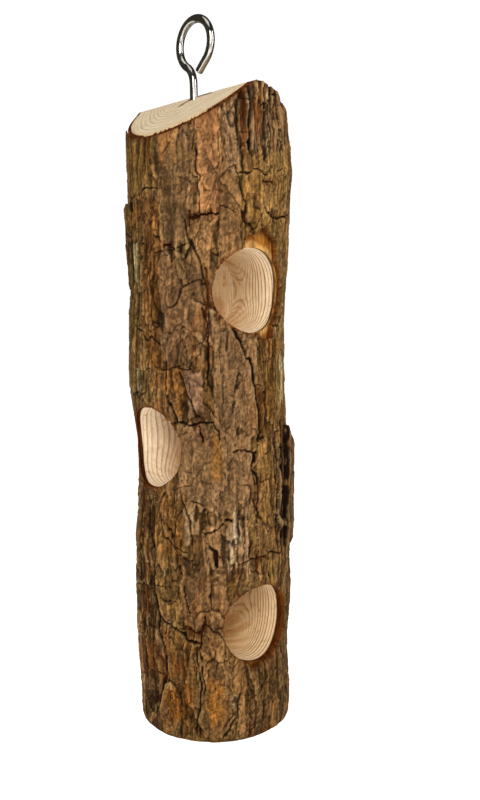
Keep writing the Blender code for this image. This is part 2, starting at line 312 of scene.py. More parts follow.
# What the camera's side of the bark shows. Patches: bearings and heights of the edges, lift, how smooth it is
# from 0 to 1, height of its upright ridges, and colour.
PATCHES = [
    ((-92, -60), (120, 300), 0.0, 0.5, 0.3, (98, 74, 38)),
    ((-60, -34), (256, 300), 0.2, 0.6, 0.25, (106, 80, 42)),
    ((-60, -48), (160, 236), 0.0, 0.5, 0.35, (106, 82, 48)),
    ((-50, -33), (182, 257), 0.0, 0.5, 0.3, (106, 70, 34)),
    ((-34, -8), (233, 292), 0.3, 0.8, 0.12, (120, 91, 62)),
    ((-31, -20), (272, 292), 0.3, 0.8, 0.1, (140, 100, 62)),
    ((-34, -3), (181, 233), 0.3, 0.75, 0.12, (116, 86, 60)),
    ((-6, 11), (244, 312), 0.5, 0.95, 0.05, (160, 113, 76)),
    ((-8, 3), (220, 247), 0.3, 0.9, 0.1, (138, 102, 68)),
    ((11, 22), (262, 312), 0.1, 0.7, 0.3, (134, 104, 76)),
    ((7, 24), (230, 262), 0.2, 0.8, 0.15, (140, 103, 68)),
    ((24, 42), (244, 270), 0.2, 0.6, 0.4, (134, 98, 54)),
    ((38, 68), (247, 282), 0.5, 0.85, 0.15, (136, 104, 62)),
    ((21, 68), (276, 314), 0.2, 0.25, 1.2, (76, 58, 42)),
    ((50, 90), (150, 246), 0.0, 0.6, 0.25, (122, 96, 58)),
    ((-12, -3), (182, 206), 0.2, 0.6, 0.3, (126, 96, 66)),
    ((-2, 4), (186, 206), 0.0, 0.0, 1.0, (122, 96, 78)),
    ((2, 34), (147, 204), 0.5, 0.95, 0.08, (130, 100, 72)),
    ((37, 55), (150, 192), -0.1, 0.6, 0.35, (90, 62, 24)),
    ((-34, -18), (157, 180), 0.4, 0.4, 0.3, (124, 82, 40)),
    ((-16, -4), (157, 180), 0.6, 0.8, 0.15, (122, 92, 74)),
    ((-24, 30), (111, 155), 0.4, 0.85, 0.1, (132, 101, 72)),
    ((1, 6), (132, 148), 0.4, 0.9, 0.1, (150, 106, 58)),
    ((36, 56), (92, 146), 0.1, 0.6, 0.3, (130, 96, 54)),
    ((-46, -18), (90, 119), 0.4, 0.55, 0.2, (108, 75, 36)),
    ((-19, -8), (98, 115), 0.5, 0.8, 0.1, (150, 122, 92)),
    ((-8, 8), (84, 110), 0.4, 0.7, 0.2, (126, 94, 64)),
    ((8, 26), (86, 109), 0.5, 0.3, 0.7, (130, 104, 82)),
    ((-48, -20), (57, 90), 0.2, 0.5, 0.2, (110, 82, 46)),
    ((-20, 10), (57, 86), 0.3, 0.7, 0.15, (124, 92, 62)),
    # The next patch is partly the bark's own dark tone and partly painted shade on the log's shadowed left
    # side.
    ((-68, -46), (4, 122), -0.1, 0.4, 0.4, (62, 40, 15)),
    ((-46, -13), (4, 54), 0.2, 0.6, 0.2, (104, 73, 38)),
    ((-36, -18), (12, 26), 0.1, 0.7, 0.1, (118, 74, 28)),
    ((-12, 22), (3, 57), 0.3, 0.75, 0.12, (128, 95, 60)),
    ((-6, 6), (9, 31), 0.4, 0.8, 0.1, (150, 100, 46)),
    ((22, 70), (3, 38), 0.0, 0.5, 0.3, (96, 69, 37)),
    ((56, 90), (3, 90), 0.0, 0.5, 0.35, (92, 68, 40)),
    # The next patch is painted shade in the gap beside the loose slab, over dark splintery bark.
    ((52, 64), (90, 153), 0.0, 0.1, 0.9, (72, 50, 30)),
    # The small pale patches from here down to the two grey streaks at the left are painted highlights, glints
    # and streaks of light, laid in as pale chips of bark.
    ((7, 9), (273, 279), 0.4, 0.9, 0.0, (230, 190, 132)),
    ((15, 17), (98, 110), 0.6, 0.8, 0.1, (160, 142, 122)),
    ((11, 15), (91, 98), 0.6, 0.8, 0.1, (170, 150, 124)),
    ((-4, 0), (99, 104), 0.5, 0.8, 0.1, (160, 124, 88)),
    ((12, 15), (19, 24), 0.4, 0.8, 0.1, (166, 148, 118)),
    ((-64, -57), (221, 236), 0.3, 0.7, 0.3, (142, 130, 96)),
    ((-62, -58), (166, 178), 0.3, 0.7, 0.3, (150, 140, 112)),
    ((49, 55), (172, 181), 0.2, 0.6, 0.1, (178, 112, 52)),
    ((62, 70), (158, 186), 0.2, 0.7, 0.2, (176, 158, 116)),
]

# Cracks: (bearing, height) at each bend, width and depth.
CRACKS = [
    # The first, broad and shallow one is a painted soft shadow band over a faint groove.
    ([(-46, 282), (-31, 265), (-24, 250), (-26, 236)], 9, 0.5),
    ([(-60, 279), (-59, 262), (-60, 258)], 1.0, 1.3),
    ([(-66, 257), (-56, 258), (-46, 259), (-33, 258)], 0.7, 1.2),
    ([(-65, 256), (-63, 246)], 1.0, 1.4),
    ([(-4, 274), (-6, 268), (-5, 262), (-5, 251), (-6, 244)], 0.5, 1.1),
    ([(24, 297), (21, 286), (24, 277), (23, 266)], 2.2, 0.9),
    ([(29, 292), (30, 274)], 1.4, 1.0),
    ([(21, 265), (28, 264), (36, 266), (45, 265)], 0.8, 1.4),
    ([(18, 268), (22, 260), (26, 250), (27, 243)], 0.9, 1.4),
    ([(9, 250), (20, 249)], 0.5, 1.0),
    ([(43, 249), (54, 246), (74, 248)], 1.0, 1.5),
    ([(-16, 244), (-12, 238), (-8, 231), (-3, 226), (-2, 220)], 0.9, 1.3),
    ([(-19, 233), (-12, 235)], 0.6, 1.3),
    ([(-38, 232), (-22, 232)], 0.6, 1.0),
    ([(-16, 217), (-12, 219), (-4, 219), (0, 216), (3, 213)], 0.8, 1.3),
    ([(-4, 206), (-1, 200), (-2, 187), (-1, 172)], 1.1, 1.2),
    ([(17, 197), (23, 188), (29, 180), (33, 170), (36, 162), (36, 150), (34, 145)], 1.8, 1.8),
    ([(20, 174), (16, 166), (15, 160)], 0.6, 0.8),
    ([(-60, 196), (-50, 195)], 0.7, 1.2),
    ([(-42, 181), (-30, 180), (-12, 181)], 0.6, 1.1),
    ([(-20, 179), (-17, 171), (-12, 163), (-8, 157)], 0.8, 1.3),
    ([(-35, 162), (-30, 156), (-20, 157), (-12, 154), (1, 155), (6, 152), (7, 149)], 1.0, 1.5),
    ([(-30, 168), (-25, 161), (-23, 156)], 0.8, 1.4),
    ([(17, 141), (21, 143), (32, 140)], 0.8, 1.4),
    ([(32, 140), (31, 134), (35, 127), (36, 118), (34, 108)], 1.6, 1.8),
    ([(-14, 119), (-5, 116)], 0.7, 1.1),
    ([(-36, 121), (-40, 112), (-37, 102), (-27, 96), (-19, 94)], 0.8, 1.4),
    ([(-22, 121), (-15, 109), (-15, 98)], 0.6, 1.2),
    ([(-5, 103), (3, 105), (7, 107)], 0.7, 1.2),
    ([(9, 109), (14, 108)], 1.4, 1.6),
    ([(-1, 98), (2, 95), (3, 88)], 2.4, 1.9),
    ([(28, 99), (26, 91)], 1.2, 1.5),
    ([(18, 88), (30, 90), (45, 91), (62, 88)], 0.9, 1.4),
    ([(46, 91), (44, 83), (47, 75)], 1.1, 1.4),
    ([(-50, 116), (-52, 105), (-47, 96)], 1.5, 1.5),
    ([(-60, 119), (-62, 102), (-60, 90)], 1.2, 1.4),
    ([(-49, 86), (-48, 74), (-44, 60), (-32, 57), (-22, 55), (-20, 52), (-8, 50)], 1.7, 1.8),
    ([(-44, 60), (-44, 54), (-39, 46), (-37, 35), (-41, 24), (-47, 12)], 2.0, 1.9),
    ([(-45, 75), (-34, 76)], 0.5, 0.9),
    ([(-20, 78), (-17, 66)], 0.6, 1.1),
    ([(-12, 48), (-11, 38), (-10, 25), (-12, 14), (-13, 4)], 0.9, 1.4),
    ([(-9, 46), (-8, 35), (-7, 25)], 0.8, 1.2),
    ([(-5, 60), (3, 56), (8, 52), (12, 45)], 0.6, 1.2),
    ([(40, 38), (41, 30), (35, 22)], 1.4, 1.5),
    ([(28, 22), (40, 26), (54, 30)], 0.7, 1.2),
    ([(17, 25), (15, 13), (6, 4)], 0.8, 1.3),
    ([(61, 151), (62, 120), (61, 96)], 3.4, 1.9),
]


def along_crack(s, z, bends):
    """Distance in millimetres from each grid point to a crack's line."""
    nearest = np.full(s.shape, np.inf)
    points = [(arc(bearing + VIEW_AZIMUTH), height) for bearing, height in bends]
    for (s0, z0), (s1, z1) in zip(points, points[1:]):
        aside = (s - s0 + GIRTH / 2) % GIRTH - GIRTH / 2
        nearest = np.minimum(nearest, to_segment(aside, z, (0, z0), (s1 - s0, z1)))
    return nearest


def mix(colour, other, amount):
    """A colour drawn towards another, by an amount from 0 to 1 at each point."""
    return colour + (np.asarray(other) - colour) * amount[..., None]


def blurred(values, reach):
    """Mean of a field over this many grid steps each way, taken twice. It closes round the log."""
    for _ in range(2):
        wide = sum(np.roll(values, k, axis=1) for k in range(-reach, reach + 1)) / (2 * reach + 1)
        tall = np.pad(wide, ((reach, reach), (0, 0)), mode="edge")
        values = sum(tall[k : k + len(wide)] for k in range(2 * reach + 1)) / (2 * reach + 1)
    return values


def contour(s, z, length_s, length_z, seed, width):
    """Fine meandering lines, where a noise crosses its middle value, broken up by another noise."""
    line = smoothstep(width, 0.0, np.abs(noise(s, z, length_s, length_z, seed) - 0.5))
    return line * smoothstep(0.4, 0.7, noise(s, z, 2.5 * length_s, 2 * length_z, seed + 1))


def bulge(azimuth, z):
    """How far the log stands off a true round, in millimetres, where its outline shows it."""
    total = -FLAT_DEPTH * smoothstep(40, 12, np.abs(wrapped(azimuth - FLAT_AZIMUTH)))
    total = total * smoothstep(255, 285, z)
    for bearing, profile in OUTLINES:
        heights, offsets = zip(*profile)
        turn = np.abs(wrapped(bearing_of(azimuth) - bearing))
        total = total + np.interp(z, heights, offsets) * smoothstep(55, 8, turn)
    return total


def thinning(azimuth, z):
    """How much less bark there is, in millimetres: at the top's low end and beside the middle pocket."""
    total = 0
    for middle, reach, start, full, end in THIN_SPOTS:
        near = smoothstep(reach, 0.45 * reach, np.abs(wrapped(azimuth - middle)))
        total = total + THINNED * near * smoothstep(start, full, z) * (z < end)
    return total


def patch_fields(s, z, bearing):
    """Smoothness, ridge height, lift, colour and how strongly it tints, where the patches lie."""
    wobble = 2.5 * (noise(s, z, 6, 14, 14) - 0.5) + 1.4 * (noise(s, z, 2, 4, 15) - 0.5)
    splinters = 9 * (noise(s, z, 2.2, 12, 19) - 0.5)
    smooth = np.full_like(s, 0.45)
    ridge = 0.15 + 0.3 * smoothstep(0.3, 0.75, noise(s, z, 22, 45, 10))
    lift, strength = np.zeros_like(s), np.zeros_like(s)
    colour = np.zeros(s.shape + (3,))
    for (left, right), (low, high), rise, flat, ridged, shade in PATCHES:
        across = np.minimum(bearing - left, right - bearing) * DEGREE + wobble
        tall = np.minimum(z - low, high - z) + 2.0 * wobble + splinters
        inside = smoothstep(-0.4, 0.7, np.minimum(across, tall / 2))
        smooth = smooth * (1 - inside) + flat * inside
        ridge = ridge * (1 - inside) + ridged * inside
        lift = lift * (1 - inside) + rise * inside
        strength = strength * (1 - inside) + inside
        colour = mix(colour, srgb(*shade) * BARK_SHADE, inside)
    return smooth, ridge, lift, colour, strength


def bark_field(azimuth, z):
    """Height of the bark's relief in millimetres, and its colour, over the grid."""
    s = arc(azimuth)
    smooth, ridge, lift, patch_colour, strength = patch_fields(s, z, bearing_of(azimuth))
    rough = 1 - smooth
    wiggle_s = 1.8 * (noise(s, z, 4, 8, 2) - 0.5) + 1.0 * (noise(s, z, 1.5, 3, 3) - 0.5)
    wiggle_z = 5 * (noise(s, z, 5, 8, 5) - 0.5) + 2.0 * (noise(s, z, 1.5, 2.5, 6) - 0.5)
    s1 = s + 3.0 * (noise(s, z, 14, 34, 1) - 0.5) + wiggle_s
    z1 = z + 16 * (noise(s, z, 17, 30, 4) - 0.5) + wiggle_z
    plate, plate_tone, plate_edge, plate_place = cells(s1, z1, 15, 44, 7)
    flake, flake_tone, flake_edge, flake_place = cells(s1, z1, 6.5, 16, 8)
    chip, chip_tone, _, _ = cells(s1, z1, 2.8, 6.0, 9)
    crest = 1 - np.abs(2 * noise(s1 + 0.02 * z, z, 1.2, 24, 11) - 1)
    strand = noise(s1 - 0.03 * z, z, 1.0, 9, 12)
    grain = noise(s, z, 0.9, 1.3, 13)

    relief = (0.3 + 0.7 * rough) * (1.3 * (plate - 0.5) + 0.3 * plate_place * flake)
    flaking = 1.2 * (flake - 0.5) - 0.4 * flake_place * flake_tone + 0.6 * (chip - 0.5)
    relief += (0.1 + 0.9 * rough) * flaking
    fibres = (0.3 + 0.7 * rough) * (0.35 * (strand - 0.5) + 0.4 * (grain - 0.5))
    relief += 1.3 * ridge * (crest - 0.6) + fibres
    relief += 0.5 * rough * (noise(s1, z1, 2.6, 4, 31) - 0.5) + lift
    relief *= 0.4 + 0.6 * smoothstep(0, 8, z)

    crack = smoothstep(0.035, 0.0, plate_edge) * smoothstep(0.35, 0.6, noise(s, z, 9, 20, 16))
    flake_crack = smoothstep(0.05, 0.0, flake_edge) * smoothstep(0.4, 0.65, noise(s, z, 7, 15, 17))
    crack = np.maximum(crack, 0.8 * flake_crack)
    crack *= 0.25 + 0.75 * smoothstep(0.1, 0.6, rough)
    lines = np.maximum(contour(s1, z, 5, 14, 18, 0.03), 0.7 * contour(s1, z1, 2.4, 6, 20, 0.045))
    crack = np.maximum(crack, 0.5 * lines)
    swelling = 0.35 + 1.3 * noise(s, z, 3, 5, 21)
    for bends, width, depth in CRACKS:
        away = along_crack(s + 1.2 * wiggle_s, z + 0.6 * wiggle_z, bends)
        line = smoothstep(1.1, 0.3, away / (0.4 * width * swelling + 0.18))
        crack = np.maximum(crack, line * depth / 1.6)
    relief -= 1.1 * crack * (0.3 + 0.7 * smoothstep(0, 8, z))

    tone = 0.4 * flake_tone + 0.35 * plate_tone + 0.25 * chip_tone
    colour = plate_colour(s, z, tone, patch_colour, strength)
    return relief, weathered(colour, s, z, s1, rough, ridge * (crest - 0.6), relief, crack)


def plate_colour(s, z, tone, patch_colour, strength):
    """Plain colour of the bark: a tone to each flake, greener in places, and tinted by the patches."""
    tone = np.clip(tone + 0.3 * (noise(s, z, 9, 18, 23) - 0.5), 0, 1)
    stops = [0.1, 0.3, 0.45, 0.6, 0.75, 0.95]
    shades = np.array([UMBER, BROWN, BROWN, MAUVE, TAN, ORANGE])
    colour = np.stack([np.interp(tone, stops, shades[:, k]) for k in range(3)], axis=-1)
    green = smoothstep(0.35, 0.75, noise(s, z, 16, 60, 24))
    colour = mix(colour, OLIVE * (0.7 + 0.6 * tone[..., None]), 0.6 * green)
    return mix(colour, patch_colour * (0.76 + 0.48 * tone[..., None]), 0.92 * strength)


def weathered(colour, s, z, s1, rough, ridges, relief, crack):
    """The bark's colour, streaked upright and blotched, with painted shade in its recesses and round its
    cracks, and pale where proud: partly wear, partly painted highlight.
    """
    red = smoothstep(0.5, 0.9, noise(s1, z, 4, 11, 34))
    colour = mix(colour, ORANGE, 0.25 * red * (0.5 + rough))
    grey = smoothstep(0.5, 0.85, noise(s1, z, 5, 9, 36))
    colour = mix(colour, MAUVE * 0.85, 0.4 * grey)
    streak = 0.55 * noise(s1, z, 1.0, 10, 25) + 0.45 * noise(s1, z, 2.0, 34, 26) - 0.5
    blotch = noise(s1, z, 2.4, 3.6, 32) - 0.5
    fine = noise(s, z, 0.6, 0.8, 33) - 0.5
    amount = 0.8 + rough
    streaks_and_ridge_shade = (1 + 0.85 * amount * streak) * (1 + 0.6 * amount * blotch)
    # The ridges factor is painted shade in the grooves of the upright ridges and a painted highlight on their
    # crests; the streaks, blotches and fine grain are the bark's own tone.
    streaks_and_ridge_shade *= (1 + 1.1 * fine) * (1 + 0.9 * ridges)
    colour = colour * streaks_and_ridge_shade[..., None]
    rusty = smoothstep(0.62, 0.85, noise(s1, z, 2.6, 15, 27))
    rusty *= smoothstep(0.45, 0.65, noise(s, z, 12, 30, 28))
    colour = mix(colour, RUST, 0.5 * rusty * (0.3 + 0.7 * rough))
    cavity = relief - blurred(relief, 2) + 0.5 * (relief - blurred(relief, 8))
    # Pale on the proud parts: partly wear, partly painted highlight.
    worn_and_highlit = smoothstep(0.25, 0.8, cavity) * noise(s, z, 2, 4, 29)
    colour = mix(colour, PALE_CHIP_AND_HIGHLIGHT, 0.5 * worn_and_highlit)
    # Painted shade and highlight: darker in the bark's recesses and round its cracks, lighter where it is
    # proud.
    painted_shade_and_highlight = np.exp(np.clip(2.3 * cavity, -1.7, 0.55)) * (1 - 0.6 * blurred(crack, 3))
    colour = colour * painted_shade_and_highlight[..., None]
    specks = smoothstep(0.93, 0.98, noise(s, z, 1.1, 1.3, 30))
    colour = mix(colour, PALE_CHIP_AND_HIGHLIGHT * 1.3, 0.45 * specks)
    flecks = smoothstep(0.86, 0.95, noise(s1, z, 0.9, 1.5, 35))
    colour = mix(colour, SHADE_AND_FLECK_DARK, 0.5 * flecks)
    # Painted shade: the cracks are darkened nearly to black over their grooves.
    return mix(colour, SHADE_AND_FLECK_DARK, np.clip(0.9 * crack, 0, 1))


# ---------------------------------------------------------------- sheets cut from the grid


def grid_points():
    """Azimuth and height of each point of the bark's grid, with height along the first axis."""
    azimuth = np.arange(COLUMNS) * 360 / COLUMNS
    z = FIRST_ROW + np.arange(ROWS + 1) * ROW_HEIGHT
    return np.meshgrid(azimuth, z)


def pocket_offset(azimuth, z, radius, pocket):
    """Distance of a point from a pocket's axis: sideways and up. It is endless on the log's other side."""
    turn = wrapped(azimuth - pocket[0])
    sideways = radius * np.sin(np.radians(turn))
    return np.where(np.abs(turn) < 90, sideways, 1e3), z - pocket[1]


def past_rim(azimuth, z, radius, pocket):
    """How far outside a pocket's rim a point lies."""
    return np.hypot(*pocket_offset(azimuth, z, radius, pocket)) - POCKET_RADIUS


def corner_mean(values):
    """Mean of each quad's four corners. The first axis is height, and the second closes round the log."""
    wide = (values + np.roll(values, -1, axis=1)) / 2
    return (wide[:-1] + wide[1:]) / 2


def clear_of_cuts(azimuth, z, radius, torn):
    """Which quads lie below the saw cuts and outside the pockets, and are not torn back from either."""
    azimuth, z, radius, torn = (corner_mean(values) for values in (azimuth, z, radius, torn))
    azimuth[:, -1] = azimuth[:, -2] + 360 / COLUMNS
    keep = z < saw_height(azimuth, radius) - torn
    for pocket in POCKETS:
        keep &= past_rim(azimuth, z, radius, pocket) > torn
    return keep


def tidy_mask(mask):
    """Drops quads that hang on by less than two sides, or touch another only at a corner."""
    for _ in range(6):
        sides = np.zeros(mask.shape, int)
        sides[1:] += mask[:-1]
        sides[:-1] += mask[1:]
        sides += np.roll(mask, 1, axis=1).astype(int) + np.roll(mask, -1, axis=1)
        mask = mask & (sides >= 2)
        right = np.roll(mask, -1, axis=1)
        falling = mask[:-1] & right[1:] & ~right[:-1] & ~mask[1:]
        rising = ~mask[:-1] & ~right[1:] & right[:-1] & mask[1:]
        mask[:-1] &= ~falling
        mask[1:] &= ~rising
    return mask


def snapped(azimuth, z, radius, at_edge):
    """Azimuth and height of each point, with those at a cut moved on to it."""
    for pocket in POCKETS:
        side, up = pocket_offset(azimuth, z, radius, pocket)
        distance = np.hypot(side, up)
        moved = (distance < POCKET_RADIUS) | (at_edge & (distance < POCKET_RADIUS + SNAP_REACH))
        moved &= distance > 1.0
        scale = np.where(moved, POCKET_RADIUS / np.maximum(distance, 1.0), 1.0)
        turn = np.degrees(np.arcsin(np.clip(side * scale / radius, -1, 1)))
        azimuth = np.where(moved, pocket[0] + turn, azimuth)
        z = np.where(moved, pocket[1] + up * scale, z)
    top = saw_height(azimuth, radius)
    z = np.where((z > top) | (at_edge & (z > top - SNAP_REACH)), top, z)
    return azimuth, z


def to_points(azimuth, z, radius):
    """Coordinates from azimuth, height and radius."""
    points = outward(azimuth) * radius[..., None]
    points[..., 2] = z
    return points


def placed(name, data):
    """An object of this mesh, light or camera, in the scene."""
    obj = bpy.data.objects.new(name, data)
    bpy.context.scene.collection.objects.link(obj)
    return obj


def add_tint(mesh, colours):
    """Sets the colour at each point of a mesh, which the materials read."""
    tints = np.ones((len(colours), 4), np.float32)
    tints[:, :3] = colours
    attribute = mesh.color_attributes.new("tint", "FLOAT_COLOR", "POINT")
    attribute.data.foreach_set("color", tints.ravel())


def corner_any(mask):
    """Which grid points have a quad of the mask at them."""
    tall = np.zeros((mask.shape[0] + 1, mask.shape[1]), bool)
    tall[:-1] |= mask
    tall[1:] |= mask
    return tall | np.roll(tall, 1, axis=1)


def sheet_faces(mask, index, count):
    """Quads of a sheet's outer side and then of its inner side, whose points come that much later, and of the
    walls between the two along its edge."""
    beside = np.roll(index, -1, axis=1)
    low_left, low_right, high_right, high_left = index[:-1], beside[:-1], beside[1:], index[1:]
    front = np.stack([low_left, low_right, high_right, high_left], axis=-1)[mask]
    padded = np.pad(mask, ((1, 1), (0, 0)))
    walls = []
    for missing, first, second in (
        (~padded[:-2], low_left, low_right),
        (~padded[2:], high_right, high_left),
        (~np.roll(mask, -1, axis=1), low_right, high_right),
        (~np.roll(mask, 1, axis=1), high_left, low_left),
    ):
        here = mask & missing
        a, b = first[here], second[here]
        walls.append(np.stack([b, a, a + count, b + count], axis=-1))
    return np.concatenate([front, front[:, ::-1] + count]), np.concatenate(walls)


def bake_map(mask, used, azimuth, z, sides, walls):
    """Where each face's corners lie in the bake map: the outer side at its left, the inner at its right."""
    left_edge = azimuth[0, window(mask)[1][0, 0]]
    spread = ((azimuth - left_edge + 0.01) % 360)[used]
    u = spread / spread.max()
    v = 0.01 + 0.98 * ((z[used] - z[used].min()) / np.ptp(z[used]))
    maps = np.concatenate([np.stack([0.01 + 0.7 * u, v], -1), np.stack([0.74 + 0.25 * u, v], -1)])
    return maps[np.concatenate([sides, walls % len(u)])]


def make_sheet(name, mask, azimuth, z, outer, inner, colour, inner_colour, material):
    """A closed curved slab over the quads of a mask, with a colour at each point and its own bake map."""
    used = corner_any(mask)
    edge = used & corner_any(~mask)
    count = int(used.sum())
    index = np.full(used.shape, -1)
    index[used] = np.arange(count)
    sides, walls = sheet_faces(mask, index, count)
    faces = np.concatenate([sides, walls])
    layers = [to_points(*snapped(azimuth, z, radius, edge), radius)[used] for radius in (outer, inner)]
    mesh = bpy.data.meshes.new(name)
    mesh.vertices.add(2 * count)
    mesh.vertices.foreach_set("co", (np.concatenate(layers) * MM).ravel())
    mesh.loops.add(faces.size)
    mesh.loops.foreach_set("vertex_index", faces.ravel().astype(np.int32))
    mesh.polygons.add(len(faces))
    mesh.polygons.foreach_set("loop_start", np.arange(0, faces.size, 4, dtype=np.int32))
    mesh.polygons.foreach_set("use_smooth", np.ones(len(faces), bool))
    mesh.update(calc_edges=True)
    add_tint(mesh, np.concatenate([colour[used], np.broadcast_to(inner_colour, (count, 3))]))
    corners = bake_map(mask, used, azimuth, z, sides, walls)
    mesh.uv_layers.new(name="OFBake").data.foreach_set("uv", corners.astype(np.float32).ravel())
    mesh.materials.append(material)
    mesh.set_sharp_from_angle(angle=math.radians(60))
    return placed(name, mesh)


def window(mask):
    """The rows and columns of quads that hold a mask, with its columns counted on from its left edge."""
    rows = np.flatnonzero(mask.any(axis=1))
    filled = np.flatnonzero(mask.any(axis=0))
    gaps = np.diff(filled, prepend=filled[-1] - COLUMNS)
    columns = filled[gaps.argmax()] + np.arange(COLUMNS - gaps.max() + 1)
    return np.ix_(np.arange(rows[0], rows[-1] + 1), columns % COLUMNS)


def edge_fade(mask, steps=4):
    """1 at a mask's edge, falling to 0 a few quads in, at each grid point."""
    fade = np.zeros((mask.shape[0] + 1, mask.shape[1]))
    shrunk = mask
    for k in range(steps):
        at_edge = corner_any(shrunk) & corner_any(~shrunk)
        fade = np.maximum(fade, at_edge * (1 - k / steps))
        gone = np.pad(~shrunk, ((1, 1), (0, 0)), constant_values=True)
        beside = np.roll(~shrunk, 1, axis=1) | np.roll(~shrunk, -1, axis=1)
        shrunk = shrunk & ~(gone[:-2] | gone[2:] | beside)
    return fade


def plate_labels(names, azimuth, z):
    """Which of the frame's bark plates lies under each quad, seen through a warp that tears their edges."""
    corners, polygons, owner = [], [], []
    for k, name in enumerate(names):
        mesh = NODES[name].data
        start = len(corners)
        corners += [v.co.copy() for v in mesh.vertices]
        polygons += [[start + i for i in p.vertices] for p in mesh.polygons]
        owner += [k] * len(mesh.polygons)
    tree = BVHTree.FromPolygons(corners, polygons)
    s = arc(azimuth)
    shift_s = 2.6 * (noise(s, z, 5, 11, 31) - 0.5) + 1.6 * (noise(s, z, 1.6, 3.5, 32) - 0.5)
    shift_z = 4.0 * (noise(s, z, 6, 7, 33) - 0.5) + 1.8 * (noise(s, z, 1.8, 2.2, 34) - 0.5)
    s, height = corner_mean(s + shift_s), corner_mean(np.maximum(z + shift_z, 1.0))
    s[:, -1] = s[:, -2] + GIRTH / COLUMNS
    labels = np.full(s.shape, -1)
    turned = np.degrees(s / LOG_RADIUS)
    outside = to_points(turned, height, np.full(s.shape, LOOKUP_RADIUS)) * MM
    inward = -outward(turned)
    reach = (LOOKUP_RADIUS - SLEEVE_OUTER - 0.1) * MM
    for i in range(s.shape[0]):
        for j in range(s.shape[1]):
            hit = tree.ray_cast(Vector(outside[i, j]), Vector(inward[i, j]), reach)
            if hit[2] is not None:
                labels[i, j] = owner[hit[2]]
    return labels


# ---------------------------------------------------------------- bark pieces


def torn_back(azimuth, z):
    """How far the outer bark has broken away from the pockets' rims and the saw cuts, in millimetres."""
    s = arc(azimuth)
    torn = 1.1 * smoothstep(0.6, 0.95, noise(s, z, 5, 5, 41)) + 0.9 * (noise(s, z, 1.6, 1.8, 42) - 0.5)
    ragged = 0.6 + 0.8 * noise(s, z, 2.5, 3.5, 43)
    for bearing, height, reach, depth in CHIPPED:
        side = DEGREE * wrapped(azimuth - (bearing + VIEW_AZIMUTH))
        torn = torn + depth * ragged * smoothstep(1.0, 0.3, np.hypot(side, z - height) / reach)
    return np.maximum(torn, 0.0)


def without_crumbs(mask, least=220):
    """The mask without its parts of fewer quads than this, or its largest part alone if all are small."""
    area = window(mask)
    part = mask[area]
    label = np.where(part, np.arange(1, part.size + 1).reshape(part.shape), 0)
    while True:
        padded = np.pad(label, 1)
        beside = np.maximum(padded[1:-1, 2:], padded[1:-1, :-2])
        above_or_below = np.maximum(padded[2:, 1:-1], padded[:-2, 1:-1])
        grown = np.where(part, np.maximum(label, np.maximum(beside, above_or_below)), 0)
        if (grown == label).all():
            break
        label = grown
    values, counts = np.unique(label[part], return_counts=True)
    kept = np.zeros_like(mask)
    kept[area] = np.isin(label, values[counts >= min(least, counts.max())])
    return kept


def grown_together(labels, azimuth, z):
    """The plates' labels spread over their fissures, but for the stretches of these that stay open."""
    shut = corner_mean(noise(arc(azimuth), z, 7, 12, 868)) > 0.28
    for _ in range(SPREAD_QUADS):
        grown = np.maximum(np.roll(labels, -1, axis=1), np.roll(labels, 1, axis=1))
        grown[1:] = np.maximum(grown[1:], labels[:-1])
        labels = np.where((labels < 0) & shut, grown, labels)
    return labels


def make_bark(material, azimuth, z, relief, colour):
    """The plates of outer bark, rounded and rusty at their torn edges and brighter at the drilled rims."""
    names = sorted(name for name in NODES if name.startswith("bark_"))
    labels = grown_together(plate_labels(names, azimuth, z), azimuth, z)
    torn = torn_back(azimuth, z)
    out_of_round = bulge(azimuth, z)
    inner = PLATE_INNER + np.minimum(out_of_round, 0) + 0.75 * thinning(azimuth, z)
    outer = LOG_RADIUS + relief + out_of_round
    keep = clear_of_cuts(azimuth, z, outer, torn)
    drilled_rim = np.zeros_like(z)
    for pocket in POCKETS:
        at_rim = smoothstep(1.0, 0.2, past_rim(azimuth, z, outer, pocket))
        drilled_rim = np.maximum(drilled_rim, at_rim)
    drilled_rim *= smoothstep(0.3, 0.6, noise(arc(azimuth), z, 4, 4, 44))
    fade = edge_fade((labels >= 0) & keep)
    rounded = np.maximum(outer - 0.5 * fade**2, inner + 0.7)
    edge_colour = mix(mix(colour, DEEP_RUST, 0.35 * fade), RUST * 0.85, drilled_rim)
    for k, name in enumerate(names):
        mask = without_crumbs(tidy_mask((labels == k) & keep))
        sheet = make_sheet(name + "_bark", mask, azimuth, z, rounded, inner, edge_colour, RUST, material)
        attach(sheet, "log")
        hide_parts(name)


